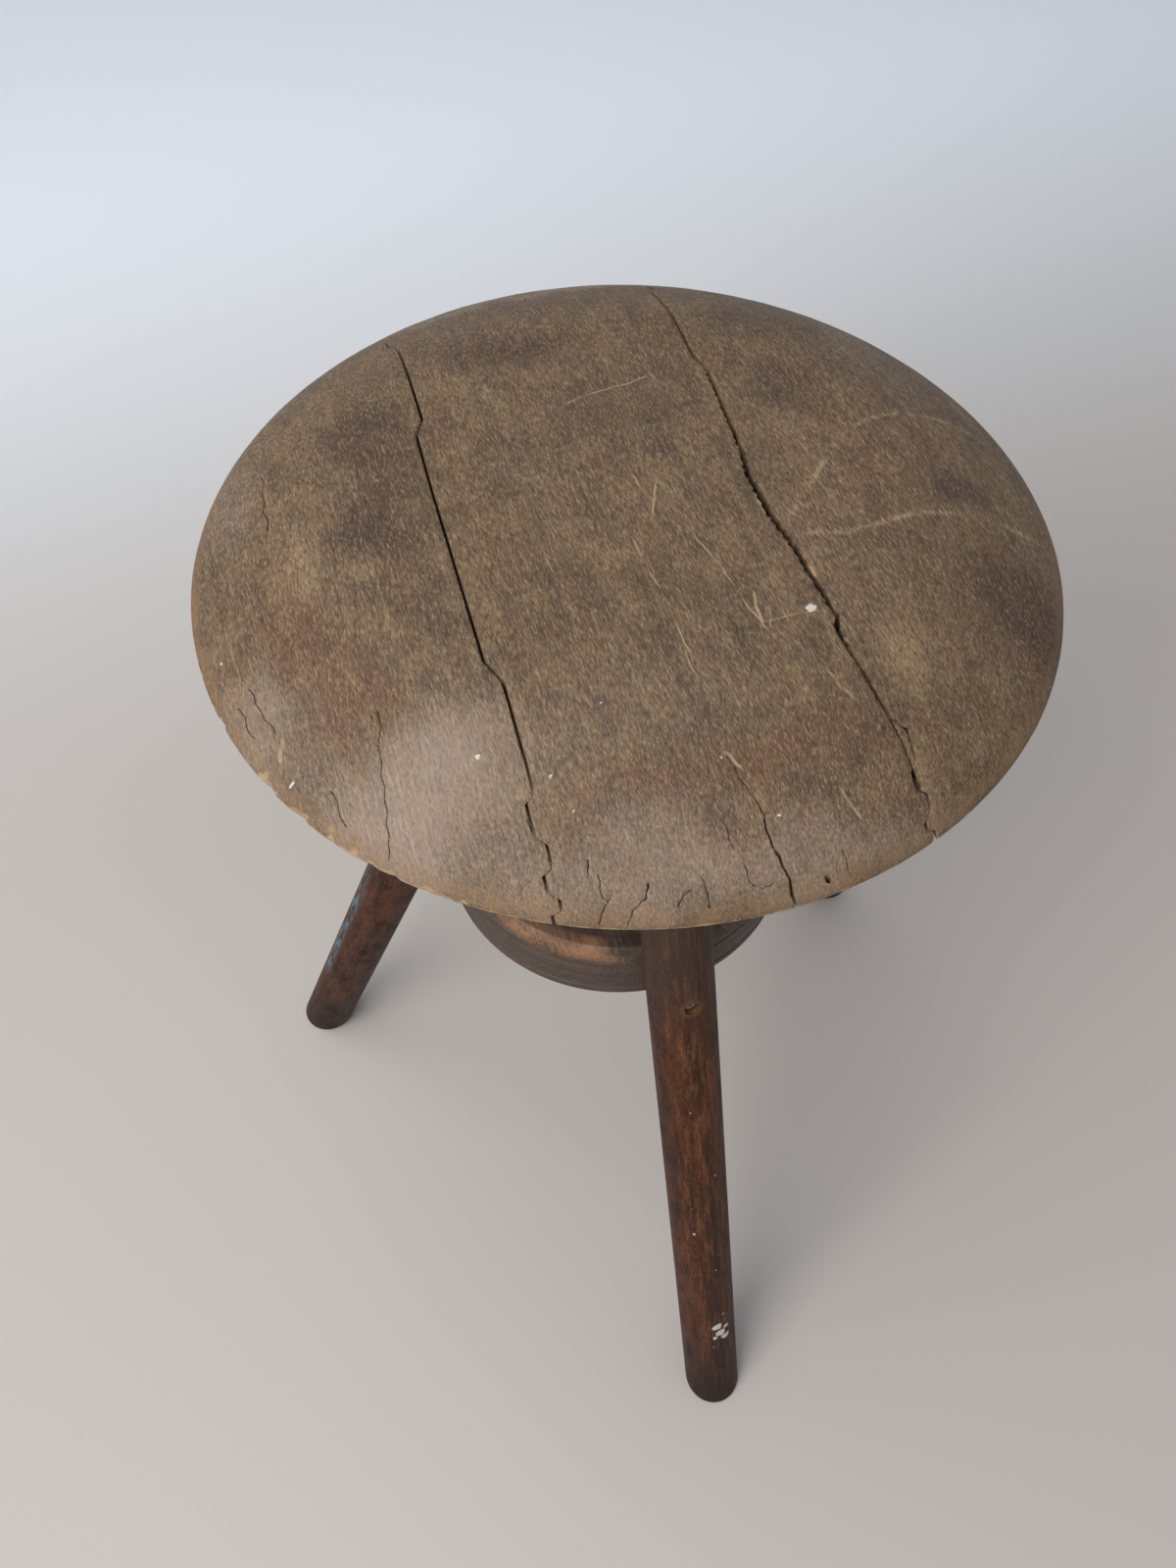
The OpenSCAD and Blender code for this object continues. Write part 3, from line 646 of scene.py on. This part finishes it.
def worn_dome():
    """The seat's worn upper skin, just inside the frame's dome, closed below the underside."""
    cells = 360
    skirt_z = -6
    share, angle = disc_grid(cells)

    # even spacing along the dome's outline, from the middle to the rim
    outline_r, outline_z = dome_profile(np.linspace(0, 1, 4000))
    steps = np.hypot(np.diff(outline_r), np.diff(outline_z))
    run = np.concatenate([[0], np.cumsum(steps)])
    at = share * run[-1]
    radius = np.interp(at, run, outline_r)
    height = np.interp(at, run, outline_z)
    slope_r = np.interp(at, run, np.gradient(outline_r, run))
    slope_z = np.interp(at, run, np.gradient(outline_z, run))
    # the outline heads outwards and down, so its outward normal is this
    normal = np.stack([-slope_z * np.cos(angle), -slope_z * np.sin(angle), slope_r], -1)
    normal = normal.reshape(-1, 3)
    normal /= np.maximum(np.linalg.norm(normal, axis=1, keepdims=True), 1e-6)
    points = np.stack([radius * np.cos(angle), radius * np.sin(angle), height], -1)
    points = points.reshape(-1, 3)
    points -= normal * wear_depth(points)[:, None]

    # a skirt takes the skin down below the underside, and a lid closes it
    side = cells + 1
    index = np.arange(side * side).reshape(side, side)
    quads = np.stack([index[:-1, :-1], index[1:, :-1], index[1:, 1:], index[:-1, 1:]], -1)
    faces = [tuple(quad) for quad in quads.reshape(-1, 4).tolist()]
    edge = np.concatenate([index[:-1, 0], index[-1, :-1], index[:0:-1, -1], index[0, :0:-1]])
    rim = points[edge].copy()
    rim[:, 2] = skirt_z
    skirt = len(points) + np.arange(len(edge))
    centre = len(points) + len(edge)
    for k in range(len(edge)):
        j = (k + 1) % len(edge)
        faces.append((int(edge[j]), int(edge[k]), int(skirt[k]), int(skirt[j])))
        faces.append((int(skirt[j]), int(skirt[k]), centre))
    points = np.concatenate([points, rim, [[0, 0, skirt_z]]])
    return seat_object("worn_dome", points, faces)


def chipped(points):
    """How far wood has broken away along the rim and the right joint's lip, from 0 to 1."""
    x, y, z = points.T
    radius = np.hypot(x, y)
    angle = np.degrees(np.arctan2(y, x))
    left_front = hump(angle, -150, 26)
    low_edge = hump(z, 0, 2.6 + 3.5 * left_front)
    crumbs = 0.5 + 0.5 * value_noise(points, (5, 5, 5), 21)
    crumbs = crumbs + 0.3 * value_noise(points, (2, 2, 2), 22)
    rim = low_edge * np.clip((0.3 + 0.7 * left_front) * crumbs * 1.8 - 0.55, 0, 1)
    left_lip = x < course_x(RIGHT_JOINT, y)
    place = left_lip * hump(y, -28, 13) + 0.5 * hump(y, -72, 20) + 0.45 * hump(y, -125, 14)
    ragged = 0.75 + 0.8 * value_noise(points, (4, 7, 6), 23)
    joint = distance_to_course(points[:, :2], RIGHT_JOINT)
    lip = hump(joint, 0, 2.8) * np.clip(place * ragged, 0, 1)
    return np.where(radius > 120, rim, 0) + lip * 0.8


def wear_depth(points):
    """How far the worn surface lies inside the frame's dome."""
    broad = value_noise(points, (40, 70, 40), 1)
    swell = value_noise(points, (9, 42, 12), 2)
    fibre = value_noise(points, (1.9, 14, 3), 3)
    depth = 0.34 + 0.12 * broad + 0.08 * swell + 0.05 * fibre
    for course in (LEFT_JOINT, RIGHT_JOINT):
        depth = depth + 0.35 * hump(distance_to_course(points[:, :2], course), 0, 1.3)
    depth = depth + 1.3 * chipped(points)
    knot = np.hypot(points[:, 0] - KNOT[0], points[:, 1] - KNOT[1])
    depth = depth + 0.3 * hump(knot, 2.6, 0.9)
    pit = np.hypot(points[:, 0] - PIT[0], (points[:, 1] - PIT[1]) / 2.6)
    depth = depth + 1.4 * hump(pit, 0, 1.4)
    return np.clip(depth, 0.06, 3)


def gape_course():
    """The right joint's course where it gapes, in short steps, a little towards its left lip."""
    steps = np.linspace(GAPE[0][0], GAPE[-1][0], 44)
    return [(float(course_x(RIGHT_JOINT, y)) - 0.4, y) for y in steps]


def wandering(course):
    """A course with two points in each stretch pushed sideways, as a crack wanders."""
    line = np.array(course, float)
    fine = [line[0]]
    for k, (start, end) in enumerate(zip(line[:-1], line[1:])):
        step = end - start
        side = np.array([-step[1], step[0]])
        for share, push in ((0.33, 0.05), (0.66, -0.04)):
            fine.append(start + step * share + side * push * (-1) ** k)
        fine.append(end)
    return np.array(fine)


def add_wedge(vertices, faces, line, width, depth, lowest):
    """Adds a closed wedge along a line to a mesh's lists. Its walls close a little downwards."""
    least_width = 0.32
    stand = 2.5
    bend = min(2.2, depth / 2)
    along = np.gradient(line, axis=0)
    along /= np.linalg.norm(along, axis=1, keepdims=True)
    across = np.stack([-along[:, 1], along[:, 0]], 1)
    swell = 1 + 0.35 * np.sin(np.arange(len(line)) * 2.4)
    half = np.maximum(width / 2 * swell, least_width / 2)
    surface = dome_height(np.minimum(np.hypot(line[:, 0], line[:, 1]), SEAT_R))
    base = len(vertices)
    for point, side, z in zip(line, across * half[:, None], surface):
        low = max(z - depth, lowest)
        section = ((-1, z + stand), (1, z + stand), (0.85, z - bend), (0.6, low), (-0.6, low),
                   (-0.85, z - bend))
        vertices += [(*(point + side * share), max(height, low)) for share, height in section]
    corners = 6
    for k in range(len(line) - 1):
        a = base + corners * k
        b = a + corners
        faces += [(a + i, b + i, b + (i + 1) % corners, a + (i + 1) % corners)
                  for i in range(corners)]
    end = base + corners * (len(line) - 1)
    faces += [tuple(range(base, base + corners)), tuple(range(end + corners - 1, end - 1, -1))]


def add_pin(vertices, faces, x, y, radius):
    """Adds a round pin that drills a shallow hole in the dome to a mesh's lists."""
    base = len(vertices)
    sides = 16
    top = 60.0
    bottom = float(dome_height(math.hypot(x, y))) - 5
    for z in (top, bottom):
        for k in range(sides):
            turn = 2 * math.pi * k / sides
            vertices.append((x + radius * math.cos(turn), y + radius * math.sin(turn), z))
    for k in range(sides):
        j = (k + 1) % sides
        faces.append((base + k, base + sides + k, base + sides + j, base + j))
    faces.append(tuple(base + k for k in range(sides)))
    faces.append(tuple(base + 2 * sides - 1 - k for k in range(sides)))


def crack_cutter():
    """The cracks, the gaping joint and the holes as closed shapes in one mesh."""
    vertices = []
    faces = []
    for course, start_w, end_w, depth in CRACKS:
        line = wandering(course)
        # a crack that ends wide runs out through the rim
        lowest = -3 if end_w > 1 else 2
        add_wedge(vertices, faces, line, np.linspace(start_w, end_w, len(line)), depth, lowest)
    line = wandering(gape_course())
    add_wedge(vertices, faces, line, np.interp(line[:, 1], *zip(*GAPE)), GAPE_DEPTH, 2)
    for x, y, radius in HOLES:
        add_pin(vertices, faces, x, y, radius)
    return seat_object("cracks", vertices, faces)


def outward(obj):
    """Welds a mesh's split vertices and points its faces outwards."""
    work = bmesh.new()
    work.from_mesh(obj.data)
    bmesh.ops.remove_doubles(work, verts=work.verts, dist=1e-6)
    bmesh.ops.recalc_face_normals(work, faces=work.faces)
    work.to_mesh(obj.data)
    work.free()


def worn_board(node, dome, cracks, material):
    """A seat board: the frame's board, with the worn dome for its upper face and with its cracks."""
    mesh = NODES[node].data.copy()
    board = bpy.data.objects.new(node + "_worn", mesh)
    bpy.context.scene.collection.objects.link(board)
    outward(board)
    for operation, tool in (("INTERSECT", dome), ("DIFFERENCE", cracks)):
        cut = board.modifiers.new(operation, "BOOLEAN")
        cut.operation = operation
        cut.object = tool
        cut.solver = "MANIFOLD"
    bpy.context.view_layer.update()
    evaluated = board.evaluated_get(bpy.context.evaluated_depsgraph_get())
    board.modifiers.clear()
    board.data = bpy.data.meshes.new_from_object(evaluated)
    board.data.name = node + "_worn"
    paint(board.data)
    board.data.materials.clear()
    board.data.materials.append(material)
    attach(board, "seat")
    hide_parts(node)


def paint(mesh):
    """Stores where the seat is stained, worn or bare, where painted sheen and painted shade lie, and where its
    underside is, for its material to read.
    """
    points = mesh_points(mesh) - SEAT_ORIGIN
    flat = points[:, :2]
    radius = np.hypot(flat[:, 0], flat[:, 1])
    below = dome_height(np.minimum(radius, SEAT_R)) - points[:, 2]
    rings = np.zeros(len(points))
    for course in RING_STAINS:
        rings = np.maximum(rings, hump(distance_to_course(flat, course), 0, 1.3))
    arris = hump(points[:, 2], 1.0, 1.1) * (flat[:, 1] < 60)
    lips = np.zeros(len(points))
    for course, strength in ((LEFT_JOINT, 0.15), (RIGHT_JOINT, 0.2)):
        lips = np.maximum(lips, strength * hump(distance_to_course(flat, course), 0, 1.6))
    fields = {
        # dark stains, and painted shade over the right and far parts
        "dark": blots(points, DARK_STAIN_AND_SHADE_BLOTS),
        "red": blots(points, RED_BLOTS),
        "pale": blots(points, PALE_BLOTS),
        # where the painted sheen lies
        "painted_sheen": blots(points, PAINTED_SHEEN_BLOTS),
        "ribbed": blots(points, RIBBED_BLOTS),
        "ring": rings,
        "bare": np.clip(1.2 * chipped(points) + 0.62 * arris + lips, 0, 1.3),
        # painted shade in the joints and cracks, and the darker underside: wherever the wood lies more than 1.7 mm
        # below the dome's face
        "inner": np.clip((below - 1.7) / 0.8, 0, 1) * (radius < 171),
    }
    for name, values in fields.items():
        layer = mesh.attributes.new(name, "FLOAT", "POINT")
        layer.data.foreach_set("value", values.astype(np.float32))
    mesh.shade_smooth()
    mesh.set_sharp_from_angle(angle=math.radians(38))


def build_seat():
    material = seat_wood()
    dome = worn_dome()
    cracks = crack_cutter()
    outward(dome)
    outward(cracks)
    for node in ("seat_board_left", "seat_board_middle", "seat_board_right"):
        worn_board(node, dome, cracks, material)
    bpy.data.objects.remove(dome)
    bpy.data.objects.remove(cracks)


# ---- the threaded spindle ----

def build_spindle():
    """The steel spindle with its real two-start screw thread."""
    low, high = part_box("spindle")
    bottom = low.z / MM
    top = high.z / MM
    thread_r = (high.x - low.x) / MM / 2
    core_r = thread_r - 2.2
    neck_r = 9
    neck_top = bottom + 16
    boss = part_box("spider")[0].z / MM
    end_r = 12
    starts = 2
    pitch = 5
    around = 48
    step = 0.5

    def outline_r(z):
        if z < bottom + 1.5:
            return 7.5 + (z - bottom)
        if z < neck_top:
            return neck_r
        if z > boss - 0.05:
            return end_r if z < top - 1.5 else end_r - (z - top + 1.5)
        return None

    heights = [bottom, bottom + 1.5]
    just = 0.01
    heights += list(np.arange(bottom + 4, neck_top - just, 4)) + [neck_top - just]
    heights += list(np.arange(neck_top, boss - 0.06, step)) + [boss - 0.06]
    heights += [boss, boss + 8, boss + 16, top - 1.5, top]
    vertices = []
    for z in heights:
        plain = outline_r(z)
        for k in range(around):
            turn = 2 * math.pi * k / around
            if plain is None:
                phase = ((z - neck_top) / pitch - starts * turn / (2 * math.pi)) % 1
                slope = min(max(abs(phase - 0.5) / 0.5 * 2.4 - 0.7, 0), 1)
                r = thread_r - 0.05 - (thread_r - core_r) * slope
                ends = min(z - neck_top, boss - z)
                r = min(r, thread_r - 2 + ends) if ends < 2 else r
            else:
                r = plain
            vertices.append((AXIS.x + r * math.cos(turn), AXIS.y + r * math.sin(turn), z))
    faces = []
    for row in range(len(heights) - 1):
        for k in range(around):
            j = (k + 1) % around
            a = row * around
            faces.append((a + k, a + j, a + around + j, a + around + k))
    faces.append(tuple(range(around - 1, -1, -1)))
    last = (len(heights) - 1) * around
    faces.append(tuple(last + k for k in range(around)))
    screw = mesh_object("spindle_threaded", vertices, faces)
    screw.data.shade_smooth()
    screw.data.set_sharp_from_angle(angle=math.radians(35))
    screw.data.materials.append(oiled_steel("spindle_steel", rgb(70, 66, 62), rgb(138, 132, 124), 0.6))
    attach(screw, "seat")
    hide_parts("spindle")


# ---- the frame's own nodes ----

def dress(node, material, edge=0.0):
    """Gives a carried-over node its material, and breaks its sharp edges."""
    obj = NODES[node]
    obj.data.materials.clear()
    obj.data.materials.append(material)
    weld = obj.modifiers.new("weld", "WELD")
    weld.merge_threshold = 1e-6
    if edge:
        bevel = obj.modifiers.new("edges", "BEVEL")
        bevel.width = edge * MM
        bevel.segments = 2
        bevel.limit_method = "ANGLE"
        bevel.angle_limit = math.radians(32)
        normals = obj.modifiers.new("normals", "WEIGHTED_NORMAL")
        normals.weight = 100
        normals.keep_sharp = True


def dress_nodes():
    for seed, (leg, looks) in enumerate(LEG_LOOKS.items(), 1):
        dress(leg, leg_wood(leg, seed, **looks), 0.5)
    hub_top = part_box("hub")[1].z / MM
    disc_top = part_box("brace_disc")[1].z / MM
    dress("hub", turned_wood("hub_wood", hub_top, 72, -14, 3), 0.8)
    dress("brace_disc", turned_wood("disc_wood", disc_top, 80, -4, 7), 0.6)
    pegs = end_grain()
    dress("leg_wedges", pegs)
    dress("brace_pegs", pegs, 0.3)
    iron = cast_iron()
    dress("spider", iron, 0.8)
    dress("nut", iron, 0.6)
    screws = oiled_steel("screw_steel", rgb(60, 56, 52), rgb(112, 106, 98), 0.5)
    for node in ("spider_screws", "nut_screws", "spindle_pin", "stop_pin", "stop_washer"):
        dress(node, screws, 0.25)


# ---- stage, light and camera ----

def build_floor():
    """A pale floor that curves up into a pale backdrop far behind."""
    near, far, wide, bend, rise = -4.0, 3.2, 7.0, 0.9, 3.6
    outline = [(near, 0.0)]
    for k in range(13):
        turn = math.pi / 2 * k / 12
        outline.append((far - bend + bend * math.sin(turn), bend - bend * math.cos(turn)))
    outline.append((far, rise))
    vertices = []
    faces = []
    for k, (y, z) in enumerate(outline):
        vertices += [(-wide, y, z), (wide, y, z)]
        if k:
            faces.append((2 * k - 2, 2 * k - 1, 2 * k + 1, 2 * k))
    floor = mesh_object("floor", np.array(vertices) / MM, faces)
    floor.data.shade_smooth()
    s = Shader("floor")
    soft = s.noise(s.place, (900, 900, 900), 2, 0.5)
    fine = s.noise(s.place, (3, 3, 3), 2, 0.5)
    warm = s.mix(s.fit(soft, 0.3, 0.7), rgb(179, 171, 163), rgb(182, 175, 168))
    colour = s.mix(s.fit(s.axes(s.place)[1], 300, 1500), warm, rgb(236, 240, 244))
    floor.data.materials.append(s.finish(colour, s.fit(fine, 0.3, 0.7, 0.5, 0.6), s.bump(fine, 0.05, 0.2)))


def area_light(name, place, target, size, power, colour):
    data = bpy.data.lights.new(name, "AREA")
    data.shape = "RECTANGLE"
    data.size, data.size_y = size
    data.energy = power
    data.color = colour
    lamp = bpy.data.objects.new(name, data)
    bpy.context.scene.collection.objects.link(lamp)
    lamp.location = place
    lamp.rotation_euler = (Vector(target) - Vector(place)).to_track_quat("-Z", "Y").to_euler()


def build_light():
    world = bpy.data.worlds.new("studio")
    world.use_nodes = True
    background = world.node_tree.nodes["Background"]
    background.inputs[0].default_value = (0.86, 0.91, 1.0, 1)
    background.inputs[1].default_value = 0.48
    bpy.context.scene.world = world
    area_light("window", (-1.5, -0.9, 2.1), (0, 0, 0.4), (1.5, 1.5), 48, (1.0, 0.98, 0.96))
    area_light("ceiling", (-0.7, 0.3, 2.7), (0, 0, 0.3), (1.6, 1.6), 22, (0.97, 0.98, 1.0))
    bpy.context.scene.view_settings.view_transform = "Standard"


def build_camera():
    """The camera: close above the front of the stool, looking down."""
    from_axis = Vector((-0.1252, -0.3459, 0.9258))
    tilt = 34.52
    heading = -17.5
    data = bpy.data.cameras.new("camera")
    data.sensor_width = 36
    data.lens = 28.62
    camera = bpy.data.objects.new("camera", data)
    bpy.context.scene.collection.objects.link(camera)
    camera.location = AXIS * MM + from_axis
    camera.rotation_euler = Euler((math.radians(tilt), 0, math.radians(heading)))
    bpy.context.scene.camera = camera


build_seat()
build_spindle()
dress_nodes()
build_floor()
build_light()
build_camera()
